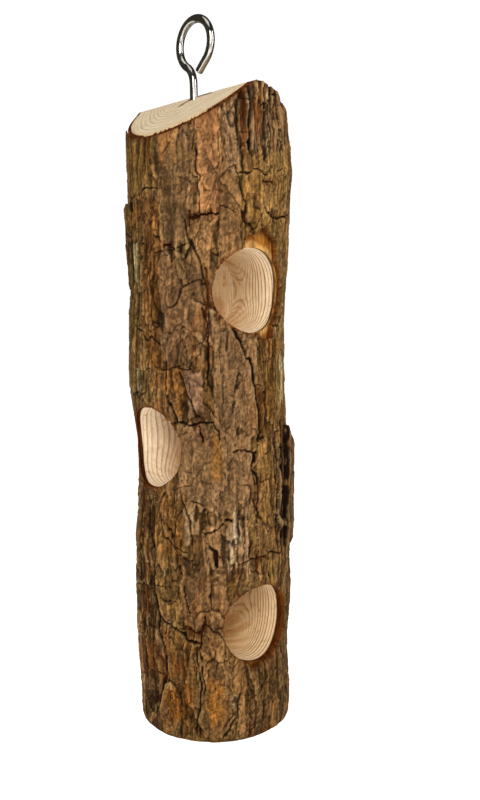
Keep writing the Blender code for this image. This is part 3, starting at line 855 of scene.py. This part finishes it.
def make_inner_bark(material, azimuth, z):
    """The thin fibrous layer under the plates, which shows in the fissures and chips and round every cut."""
    s = arc(azimuth)
    fibre = noise(s, z, 0.9, 7, 51) + 0.6 * noise(s, z, 2.4, 4, 52)
    thinned = thinning(azimuth, z)
    inward = np.minimum(bulge(azimuth, z), 0)
    outer = SLEEVE_OUTER - 0.25 + 0.3 * fibre + inward + 0.7 * thinned
    past_upper = past_rim(azimuth, z, LOG_RADIUS, POCKETS[0])
    fresh = smoothstep(21, 9, past_upper) * smoothstep(12, 28, bearing_of(azimuth))
    laid_bare = smoothstep(10, 4, saw_height(azimuth, SLEEVE_OUTER) - z)
    for pocket in POCKETS:
        laid_bare = np.maximum(laid_bare, smoothstep(9, 4, past_rim(azimuth, z, LOG_RADIUS, pocket)))
    at_rim = smoothstep(3.45, 1.45, past_upper + 3 * (fibre - 0.8))
    colour = mix(DEEP_RUST, RUST, 0.25 + 0.75 * fresh)
    golden = (0.1 + 0.6 * smoothstep(0.7, 1.1, fibre)) * (0.2 + 0.6 * fresh)
    colour = mix(colour, GOLD, golden)
    # Pale gold at the upper pocket's right rim: partly freshly broken inner bark, partly a painted highlight
    # along the rim's edge.
    colour = mix(colour, BREAK_AND_RIM_HIGHLIGHT, 0.8 * at_rim * fresh)
    colour = mix(colour, DEEP_RUST, smoothstep(0.8, 0.4, fibre) * (1 - 0.4 * fresh))
    colour = colour * (0.4 + 0.6 * laid_bare)[..., None]
    mask = tidy_mask(clear_of_cuts(azimuth, z, outer, np.zeros_like(z)))
    inner = SLEEVE_INNER + inward + thinned
    sheet = make_sheet("inner_bark_layer", mask, azimuth, z, outer, inner, colour, DEEP_RUST, material)
    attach(sheet, "log")
    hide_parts("inner_bark")


def make_flakes(material, azimuth, z, relief, colour):
    """Loose flakes that stand off the bark: a slab on the right, and two thin ones at the left edge."""
    s = arc(azimuth)
    ragged = 2.2 * (noise(s, z, 4, 9, 61) - 0.5) + 2.2 * (noise(s, z, 1.4, 3.5, 62) - 0.5)
    for name, (left, right, low, high, fall, radius, thickness, brightness) in FLAKES.items():
        from_left = wrapped(azimuth - left)
        across = np.minimum(from_left, right - left - from_left) * DEGREE
        top = high - fall * from_left / (right - left) - z
        mask = corner_mean(np.minimum(across, np.minimum(z - low, 0.6 * top)) + ragged) > 0
        mask[:, -1] = False
        mask = without_crumbs(tidy_mask(mask))
        inner = radius + 0.8 * smoothstep(0, 1, (z - low) / (high - low))
        outer = inner + thickness + 0.6 * relief - 0.8 * edge_fade(mask)
        tint = colour * brightness
        # The flakes' inner sides, and their edges towards them, take painted shade.
        sheet = make_sheet(name + "_bark", mask, azimuth, z, outer, inner, tint, SHADE_AND_FLECK_DARK, material)
        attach(sheet, "log")
        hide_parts(name)


# ---------------------------------------------------------------- wood


def ring_count(x, y, z):
    """Growth rings out from the pith at a point of the wood, as a number whose whole part counts them."""
    radius = np.hypot(x - PITH[0], RING_STRETCH * (y - PITH[1]))
    for (wave_x, wave_y, wave_z), phase, height in RING_WAVES:
        radius = radius + height * np.sin(wave_x * x + wave_y * y + wave_z * z + phase)
    return radius / RING_WIDTH + RING_DRIFT[0] * np.sin(radius / RING_DRIFT[1])


def late_wood(count):
    """1 in the hard dark line that ends each ring, and 0 in its soft pale part."""
    phase = count % 1.0
    return smoothstep(0.45, 0.88, phase) * smoothstep(1.0, 0.95, phase)


def lathed(name, points):
    """An object from rings of points, with a quad between neighbours and a cap at both ends."""
    flat = points.reshape(-1, 3)
    index = np.arange(len(flat)).reshape(points.shape[:2])
    following = np.roll(index, -1, axis=1)
    quads = np.stack([index[:-1], following[:-1], following[1:], index[1:]], axis=-1)
    faces = [tuple(quad) for quad in quads.reshape(-1, 4).tolist()]
    faces += [tuple(index[0, ::-1].tolist()), tuple(index[-1].tolist())]
    mesh = bpy.data.meshes.new(name)
    mesh.from_pydata((flat * MM).tolist(), [], faces)
    mesh.update()
    return placed(name, mesh)


def pocket_cutter(azimuth, height):
    """The drilled pocket as a solid, grained by the rings that it crosses, with its flat floor."""
    axis, side = outward(azimuth), outward(azimuth + 90)
    turns = np.radians(np.arange(170) * 360 / 170)
    profile = [(r, POCKET_FLOOR) for r in np.linspace(0.6, POCKET_RADIUS - 0.15, 26)]
    profile += [(POCKET_RADIUS, d) for d in np.arange(POCKET_FLOOR + 0.15, LOG_RADIUS + 6, 0.75)]
    radius, along = np.array(profile).T[..., None]
    points = axis * along[..., None] - side * (radius * np.sin(turns))[..., None]
    points[..., 2] = height + radius * np.cos(turns)
    grain = late_wood(ring_count(points[..., 0], points[..., 1], points[..., 2]))[..., None]
    centre = axis * np.maximum(along, POCKET_FLOOR + 3)[..., None] + np.array([0, 0, height])
    inward = centre - points
    depth = 0.07 * smoothstep(13, 23, np.hypot(points[..., 0], points[..., 1]))[..., None]
    points += depth * grain * inward / np.linalg.norm(inward, axis=-1, keepdims=True)
    return lathed("pocket_cutter", points)


def saw_cutter(cut):
    """Everything above a saw cut, with the fine steps that the teeth leave across its slope."""
    reach, cells_across = 46.0, 200
    line = np.linspace(-reach, reach, cells_across + 1)
    along, across = np.meshgrid(line, line)
    slope = math.radians(cut["slope"])
    down, side = outward(cut["downhill"]), outward(cut["downhill"] + 90)
    points = down * along[..., None] + side * across[..., None]
    points[..., 2] = cut["axis_height"] - math.tan(slope) * along
    grain = late_wood(ring_count(points[..., 0], points[..., 1], points[..., 2]))
    teeth = 0.05 * np.sin(along / 0.43 + 0.6 * np.sin(across / 9)) + 0.05 * np.sin(along / 2.1 + across / 30)
    points[..., 2] += 0.08 * grain + teeth
    builder = bmesh.new()
    grid = [[builder.verts.new(Vector(p) * MM) for p in row] for row in points]
    for low, high in zip(grid, grid[1:]):
        for a, b, c, d in zip(low, low[1:], high[1:], high):
            builder.faces.new((a, b, c, d))
    rim = [edge for edge in builder.edges if edge.is_boundary]
    raised = bmesh.ops.extrude_edge_only(builder, edges=rim)["geom"]
    top = [v for v in raised if isinstance(v, bmesh.types.BMVert)]
    for vertex in top:
        vertex.co.z = CUTTER_TOP * MM
    rim = [e for e in raised if isinstance(e, bmesh.types.BMEdge) and e.is_boundary]
    bmesh.ops.contextual_create(builder, geom=rim)
    bmesh.ops.recalc_face_normals(builder, faces=builder.faces)
    mesh = bpy.data.meshes.new("saw_cutter")
    builder.to_mesh(mesh)
    builder.free()
    return placed("saw_cutter", mesh)


def bore_cutter():
    """The pilot bore of the screw eye."""
    ring = np.array([*EYE_PLACE, 0.0]) + BORE_RADIUS * outward(np.arange(32) * 360 / 32)
    return lathed("bore_cutter", np.stack([ring + [0.0, 0.0, z] for z in (BORE_BOTTOM, BORE_TOP)]))


def make_wood(material):
    """The log without its bark, with the pockets, the saw cuts and the bore taken out of it."""
    heights = [0.0, 0.3, *np.arange(6, 330, 12.0), 330.0]
    azimuth, height = np.meshgrid(np.arange(256) * 360 / 256, heights)
    inward = np.minimum(bulge(azimuth, height), 0) + thinning(azimuth, height)
    radius = np.where(height == 0, WOOD_RADIUS - 0.3, WOOD_RADIUS) + inward
    wood = lathed("wood_core_log", to_points(azimuth, height, radius))
    cutters = [pocket_cutter(*pocket) for pocket in POCKETS]
    cutters += [saw_cutter(FRONT_CUT), saw_cutter(BACK_CUT), bore_cutter()]
    for cutter in cutters:
        cutting = wood.modifiers.new(cutter.name, "BOOLEAN")
        cutting.operation, cutting.solver, cutting.object = "DIFFERENCE", "MANIFOLD", cutter
    graph = bpy.context.evaluated_depsgraph_get()
    cut = bpy.data.meshes.new_from_object(wood.evaluated_get(graph))
    wood.modifiers.clear()
    wood.data = cut
    for cutter in cutters:
        bpy.data.objects.remove(cutter)
    cut.materials.clear()
    cut.materials.append(material)
    cut.shade_smooth()
    cut.set_sharp_from_angle(angle=math.radians(35))
    paint_wood(cut)
    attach(wood, "log")
    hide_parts("wood_core")


def colour_by_height(colours, z):
    """A colour at each height, between those given for some."""
    return np.stack([np.interp(z, list(colours), channel) for channel in zip(*colours.values())], axis=-1)


def paint_wood(mesh):
    """Tints the wood by place: browner deep in the pockets, and dark in the splits beside the screw, as
    painted shade of the open splits and a rust stain from the screw. Its rings are faint on the sawn top and
    near the pith."""
    points = np.empty(len(mesh.vertices) * 3)
    mesh.vertices.foreach_get("co", points)
    x, y, z = points.reshape(-1, 3).T / MM
    radius = np.hypot(x, y)
    at_top = z > SAWN_FROM
    slant = x + y
    deep = smoothstep(30, 8, radius) * ~at_top
    tint = mix(colour_by_height(WOOD_PALE, z), WOOD_TOP, at_top)
    browned = np.clip(deep * (0.75 + 0.5 * noise(slant, z, 7, 6, 71)), 0, 1)
    tint = mix(tint, colour_by_height(WOOD_DEEP, z), browned)
    tint = tint * (0.93 + 0.14 * noise(slant, z, 1.6, 2.2, 72))[:, None]
    stained = smoothstep(0.5, 0.8, noise(slant, z, 3, 5, 73)) * deep
    specks = smoothstep(0.86, 0.94, noise(slant, z, 1.6, 2.0, 74)) * ~at_top
    tint = mix(tint, RESIN, np.clip(0.5 * stained + 0.6 * specks, 0, 1))
    side = np.degrees(np.arctan2(x, -y))
    edge = WOOD_RADIUS + np.minimum(bulge(side, z), 0) + thinning(side, z)
    near_bark = smoothstep(1.2, 0.2, edge - radius) * at_top
    tint = mix(tint, WOOD_RIM, 0.6 * near_bark)
    beside = np.stack([x - EYE_PLACE[0], y - EYE_PLACE[1]], axis=-1)
    right = beside @ outward(VIEW_AZIMUTH + 90)[:2]
    back = beside @ -outward(VIEW_AZIMUTH)[:2]
    # Painted shade of the open splits, which the mesh does not cut, in a rust colour that also stands for the
    # screw's stain.
    for start, end, half_width in SPLITS:
        away = to_segment(right, back, start, end)
        tint = mix(tint, DEEP_RUST, 0.9 * smoothstep(1.4, 0.6, away / half_width) * at_top)
    add_tint(mesh, tint)
    by_height = np.interp(z, list(RING_CONTRAST), list(RING_CONTRAST.values()))
    in_pocket = by_height * (0.06 + 0.94 * smoothstep(13, 23, radius))
    contrast = np.where(at_top, TOP_CONTRAST, in_pocket).astype(np.float32)
    mesh.attributes.new("ring_contrast", "FLOAT", "POINT").data.foreach_set("value", contrast)


# ---------------------------------------------------------------- screw eye


def bezier(points, count):
    """Points along a cubic Bezier curve, without its last."""
    result = []
    for i in range(count):
        t = i / count
        weights = ((1 - t) ** 3, 3 * t * (1 - t) ** 2, 3 * t * t * (1 - t), t**3)
        result.append(tuple(sum(w * p[k] for w, p in zip(weights, points)) for k in (0, 1)))
    return result


def wire_path():
    """Centre line of the wire in the ring's plane: (distance along the ring's azimuth, height)."""
    ring_height = OVERALL_HEIGHT - WIRE_RADIUS - RING_RADIUS
    turns = 150
    sweep = [math.radians(RING_START + (RING_END - RING_START) * i / turns) for i in range(turns + 1)]
    ring = [(RING_OFFSET + RING_RADIUS * math.cos(a), ring_height + RING_RADIUS * math.sin(a)) for a in sweep]
    away = (math.sin(sweep[0]), -math.cos(sweep[0]))
    joining = (ring[0][0] - away[0] * NECK_HANDLE, ring[0][1] - away[1] * NECK_HANDLE)
    neck = bezier([(0.0, SHANK_TOP), (0.0, SHANK_TOP + NECK_HANDLE), joining, ring[0]], 24)
    step = THREAD_PITCH / 10
    steps = int((THREAD_TOP - TIP_HEIGHT) / step)
    shank = [(0.0, TIP_HEIGHT + i * step) for i in range(steps + 1)]
    plain = [(0.0, THREAD_TOP + (SHANK_TOP - THREAD_TOP) * k / 5) for k in range(1, 5)]
    onward = (math.sin(sweep[-1]), -math.cos(sweep[-1]))
    reaches = [TAIL_LENGTH * k / 12 for k in range(1, 13)]
    tail = [(ring[-1][0] + onward[0] * reach, ring[-1][1] + onward[1] * reach) for reach in reaches]
    return [*shank, *plain, *neck, *ring, *tail]


def wire_radius(height, turn):
    """Radius of the wire at a height and a turn round it, with the thread and the gimlet point."""
    if height >= THREAD_TOP:
        return WIRE_RADIUS
    taper = min(1.0, 0.22 + 0.78 * (height - TIP_HEIGHT) / TIP_LENGTH)
    phase = (height / THREAD_PITCH - turn) % 1.0
    crest = max(0.0, 1.0 - abs(phase - 0.5) / 0.3)
    return (WIRE_RADIUS - THREAD_DEPTH / 2 + THREAD_DEPTH * crest) * taper


def make_screw_eye(material):
    """The bent wire, with its sheared end rounded over, standing on the axis that it turns about."""
    sides = 32
    along_ring = Vector(outward(RING_AZIMUTH))
    up = Vector((0.0, 0.0, 1.0))
    across = up.cross(along_ring)
    path = [along_ring * u + up * height for u, height in wire_path()]
    last = (path[-1] - path[-2]).normalized()
    tips = [(path[-1] + last * END_ROUND * math.sin(t), math.cos(t)) for t in (0.5, 1.0, 1.35)]
    stations = [(centre, 1.0) for centre in path] + tips
    points = np.empty((len(stations), sides, 3))
    for i, (centre, shrink) in enumerate(stations):
        ahead, behind = stations[min(i + 1, len(stations) - 1)][0], stations[max(i - 1, 0)][0]
        side = across.cross((ahead - behind).normalized())
        for k in range(sides):
            angle = 2 * math.pi * k / sides
            radius = wire_radius(centre.z, k / sides) - END_ROUND * (1 - shrink)
            points[i, k] = centre + (side * math.cos(angle) + across * math.sin(angle)) * radius
    eye = lathed("screw_eye_wire", points)
    eye.data.materials.append(material)
    eye.data.shade_smooth()
    eye.data.set_sharp_from_angle(angle=math.radians(50))
    eye.location = (EYE_PLACE[0] * MM, EYE_PLACE[1] * MM, 0.0)
    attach(eye, "eye")
    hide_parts("screw_eye")


# ---------------------------------------------------------------- materials


def new_material(name):
    """A material, its node tree and its shader."""
    material = bpy.data.materials.new(name)
    material.use_nodes = True
    return material, material.node_tree, material.node_tree.nodes["Principled BSDF"]


def fill(tree, node, **inputs):
    """Links or sets a node's inputs. They are named with _ for a space, or numbered as i0, i1 and so on."""
    for key, value in inputs.items():
        numbered = key[0] == "i" and key[1:].isdigit()
        socket = node.inputs[int(key[1:]) if numbered else key.replace("_", " ")]
        if isinstance(value, bpy.types.NodeSocket):
            tree.links.new(value, socket)
        else:
            socket.default_value = value


def add_node(tree, kind, settings=None, **inputs):
    """A shader node with its settings and its inputs' values or links."""
    made = tree.nodes.new("ShaderNode" + kind)
    for key, value in (settings or {}).items():
        setattr(made, key, value)
    fill(tree, made, **inputs)
    return made


def calculated(tree, operation, *values, kind="Math", output=0):
    """What a Math or VectorMath node makes of some values or links."""
    inputs = {f"i{k}": value for k, value in enumerate(values)}
    return add_node(tree, kind, {"operation": operation}, **inputs).outputs[output]


def painted(tree, name, output="Color"):
    """What a mesh carries at each point under this name."""
    return add_node(tree, "Attribute", {"attribute_name": name}).outputs[output]


def stretched_noise(tree, stretch, scale, detail=4.0, roughness=0.6):
    """Noise over the object's own coordinates, drawn out along Z by the given factor."""
    place = add_node(tree, "TexCoord").outputs["Object"]
    mapping = add_node(tree, "Mapping", Vector=place, Scale=(1.0, 1.0, 1.0 / stretch))
    grain = {"Scale": scale, "Detail": detail, "Roughness": roughness}
    return add_node(tree, "TexNoise", Vector=mapping.outputs[0], **grain).outputs["Fac"]


def ranged(tree, value, low, high, to_low, to_high):
    """A value carried from one range to another."""
    made = add_node(tree, "MapRange", i0=value, i1=low, i2=high, i3=to_low, i4=to_high)
    return made.outputs[0]


def scaled_colour(tree, colour, factor):
    """A colour made lighter or darker."""
    made = add_node(tree, "VectorMath", {"operation": "SCALE"}, i0=colour, Scale=factor)
    return made.outputs[0]


def bark_material(name, roughness, bump):
    """Dull bark in the colours that the mesh carries, with fibres and grit too fine for its grid."""
    material, tree, shader = new_material(name)
    tint = painted(tree, "tint")
    fibres = stretched_noise(tree, 7.0, 1400.0)
    grit = stretched_noise(tree, 1.6, 900.0, 6.0, 0.7)
    shade = ranged(tree, fibres, 0.3, 0.7, 0.76, 1.2)
    colour = scaled_colour(tree, tint, shade)
    colour = scaled_colour(tree, colour, ranged(tree, grit, 0.3, 0.7, 0.78, 1.2))
    both = calculated(tree, "ADD", fibres, grit)
    bumps = add_node(tree, "Bump", Strength=bump, Distance=0.0005, Height=both).outputs[0]
    rough = ranged(tree, grit, 0.3, 0.7, roughness - 0.1, roughness + 0.1)
    fill(tree, shader, Base_Color=colour, Normal=bumps, Roughness=rough, Specular_IOR_Level=0.04)
    return material


def wood_material():
    """Pale softwood: rings worked out from the distance to the pith, and fibres drawn out along the log."""
    material, tree, shader = new_material("sawn and drilled wood")
    place = add_node(tree, "TexCoord").outputs["Object"]
    flat = calculated(tree, "SUBTRACT", place, (PITH[0] * MM, PITH[1] * MM, 0.0), kind="VectorMath")
    flat = calculated(tree, "MULTIPLY", flat, (1 / MM, RING_STRETCH / MM, 0.0), kind="VectorMath")
    radius = calculated(tree, "LENGTH", flat, kind="VectorMath", output="Value")
    for wave, phase, height in RING_WAVES:
        turns = tuple(turn / MM for turn in wave)
        angle = calculated(tree, "DOT_PRODUCT", place, turns, kind="VectorMath", output="Value")
        sine = calculated(tree, "SINE", calculated(tree, "ADD", angle, phase))
        radius = calculated(tree, "MULTIPLY_ADD", sine, height, radius)
    radius = calculated(tree, "MULTIPLY_ADD", stretched_noise(tree, 4.0, 240.0), 0.9, radius)
    drift = calculated(tree, "SINE", calculated(tree, "DIVIDE", radius, RING_DRIFT[1]))
    drift = calculated(tree, "MULTIPLY", drift, RING_DRIFT[0])
    count = calculated(tree, "MULTIPLY_ADD", radius, 1 / RING_WIDTH, drift)
    phase = calculated(tree, "FRACT", count)
    whole = calculated(tree, "FLOOR", count)
    each = add_node(tree, "TexWhiteNoise", {"noise_dimensions": "1D"}, W=whole).outputs["Value"]
    ramp = add_node(tree, "ValToRGB", Fac=phase)
    stops = [(0.0, 0.0), (0.55, 0.06), (0.82, 1.0), (0.94, 0.95), (1.0, 0.0)]
    while len(ramp.color_ramp.elements) < len(stops):
        ramp.color_ramp.elements.new(0.5)
    for element, (position, value) in zip(ramp.color_ramp.elements, stops):
        element.position = position
        element.color = (value, value, value, 1.0)
    strength = calculated(tree, "MULTIPLY", ranged(tree, each, 0, 1, 0.55, 1.0), ramp.outputs["Color"])
    late = calculated(tree, "MULTIPLY", painted(tree, "ring_contrast", "Fac"), strength)
    white, dark = (1.0, 1.0, 1.0, 1.0), (*LATE_WOOD, 1.0)
    rings = add_node(tree, "Mix", {"data_type": "RGBA"}, i0=late, i6=white, i7=dark).outputs[2]
    ringed = calculated(tree, "MULTIPLY", painted(tree, "tint"), rings, kind="VectorMath")
    fibres = stretched_noise(tree, 14.0, 1500.0)
    mottle = stretched_noise(tree, 2.0, 420.0, 5.0, 0.7)
    colour = scaled_colour(tree, ringed, ranged(tree, fibres, 0.3, 0.7, 0.86, 1.1))
    colour = scaled_colour(tree, colour, ranged(tree, mottle, 0.3, 0.7, 0.9, 1.08))
    bumps = add_node(tree, "Bump", Strength=0.35, Distance=0.0003, Height=fibres).outputs[0]
    fill(tree, shader, Base_Color=colour, Normal=bumps, Roughness=0.72, Specular_IOR_Level=0.15)
    return material


def steel_material():
    """Bright zinc or nickel plate, with faint drawing marks and a little dulling."""
    material, tree, shader = new_material("plated steel")
    cloud = stretched_noise(tree, 1.0, 240.0, 3.0)
    rough = ranged(tree, cloud, 0.3, 0.7, 0.05, 0.12)
    fine = stretched_noise(tree, 1.0, 2600.0, 2.0)
    bumps = add_node(tree, "Bump", Strength=0.08, Distance=0.0001, Height=fine).outputs[0]
    fill(tree, shader, Base_Color=(0.44, 0.42, 0.38, 1.0), Metallic=1.0, Roughness=rough, Normal=bumps)
    return material


# ---------------------------------------------------------------- studio


def towards(azimuth, elevation):
    """Unit vector from the log to a place round and above it."""
    rise = math.radians(elevation)
    return Vector(outward(azimuth)) * math.cos(rise) + Vector((0.0, 0.0, math.sin(rise)))


def area_light(name, azimuth, elevation, distance, size, power, colour):
    """A rectangular soft light aimed at the middle of the log."""
    target = Vector((0.0, 0.0, 0.17))
    away = towards(azimuth, elevation)
    data = bpy.data.lights.new(name, "AREA")
    data.shape, data.size, data.size_y = "RECTANGLE", size[0], size[1]
    data.energy, data.color = power, colour
    light = placed(name, data)
    light.location = target + away * distance
    light.rotation_mode = "QUATERNION"
    light.rotation_quaternion = away.to_track_quat("Z", "Y")


def make_flag():
    """A black curtain beyond the log that only reflections see, which darkens the polished wire's edges."""
    bearings = FLAG_START + np.linspace(0, FLAG_SWEEP, FLAG_PANELS + 1)
    foot = FLAG_RADIUS * outward(VIEW_AZIMUTH + bearings)
    corners = np.concatenate([foot + [0.0, 0.0, z] for z in FLAG_HEIGHTS])
    upper = len(foot)
    mesh = bpy.data.meshes.new("flag")
    panels = [(k, k + 1, k + 1 + upper, k + upper) for k in range(FLAG_PANELS)]
    mesh.from_pydata(corners.tolist(), [], panels)
    material, tree, shader = new_material("black cloth")
    fill(tree, shader, Base_Color=(0.04, 0.04, 0.03, 1.0), Specular_IOR_Level=0.0)
    mesh.materials.append(material)
    flag = placed("flag", mesh)
    flag.visible_camera = flag.visible_diffuse = flag.visible_shadow = flag.visible_transmission = False


def make_studio():
    """A white floor that runs out to a pale horizon, with the room dark overhead and behind the camera."""
    place = (0, 0, -0.0002)
    bpy.ops.mesh.primitive_circle_add(vertices=96, radius=FLOOR_RADIUS, fill_type="NGON", location=place)
    floor = bpy.context.object
    floor.name = "floor"
    material, tree, shader = new_material("white floor")
    fill(tree, shader, Base_Color=(0.9, 0.9, 0.9, 1.0), Roughness=0.9, Specular_IOR_Level=0.1)
    fill(tree, shader, Emission_Color=(1.0, 1.0, 1.0, 1.0), Emission_Strength=FLOOR_GLOW)
    floor.data.materials.append(material)

    make_flag()
    world = bpy.data.worlds.new("studio")
    bpy.context.scene.world = world
    world.use_nodes = True
    tree = world.node_tree
    direction = add_node(tree, "TexCoord").outputs["Generated"]
    height = add_node(tree, "SeparateXYZ", Vector=direction).outputs["Z"]
    low = ranged(tree, height, 0.62, 0.5, 0.0, 1.0)
    facing = tuple(outward(DARK_AZIMUTH))
    front = calculated(tree, "DOT_PRODUCT", direction, facing, kind="VectorMath", output="Value")
    around = ranged(tree, front, 0.82, 0.74, 0.0, 1.0)
    strength = ranged(tree, calculated(tree, "MULTIPLY", low, around), 0.0, 1.0, ROOM_DARK, ROOM_PALE)
    fill(tree, tree.nodes["Background"], Strength=strength, Color=(1.0, 1.0, 1.0, 1.0))

    for light in LIGHTS:
        area_light(*light)


def make_camera():
    """The camera, aimed a little down at the log and rolled by a hair."""
    data = bpy.data.cameras.new("camera")
    data.lens, data.sensor_width = CAMERA_LENS, 36.0
    data.shift_x, data.shift_y = CAMERA_SHIFT
    data.clip_start, data.clip_end = 0.01, 50.0
    camera = placed("camera", data)
    forward = -towards(VIEW_AZIMUTH, CAMERA_PITCH)
    right = forward.cross(Vector((0.0, 0.0, 1.0))).normalized()
    up = right.cross(forward)
    cosine, sine = math.cos(CAMERA_ROLL), math.sin(CAMERA_ROLL)
    rolled_right = right * cosine - up * sine
    rolled_up = right * sine + up * cosine
    place = Vector(outward(VIEW_AZIMUTH)) * CAMERA_DISTANCE + Vector((0.0, 0.0, CAMERA_HEIGHT))
    axes = Matrix((rolled_right, rolled_up, -forward)).transposed().to_4x4()
    camera.matrix_world = Matrix.Translation(place * MM) @ axes
    bpy.context.scene.camera = camera
    bpy.context.scene.view_settings.view_transform = "Standard"


make_camera()
make_studio()
OUTER = bark_material("outer bark", 0.85, 0.8)
GRID = grid_points()
FIELD = bark_field(*GRID)
make_bark(OUTER, *GRID, *FIELD)
make_flakes(OUTER, *GRID, *FIELD)
make_inner_bark(bark_material("inner bark", 0.7, 0.5), *GRID)
make_wood(wood_material())
make_screw_eye(steel_material())
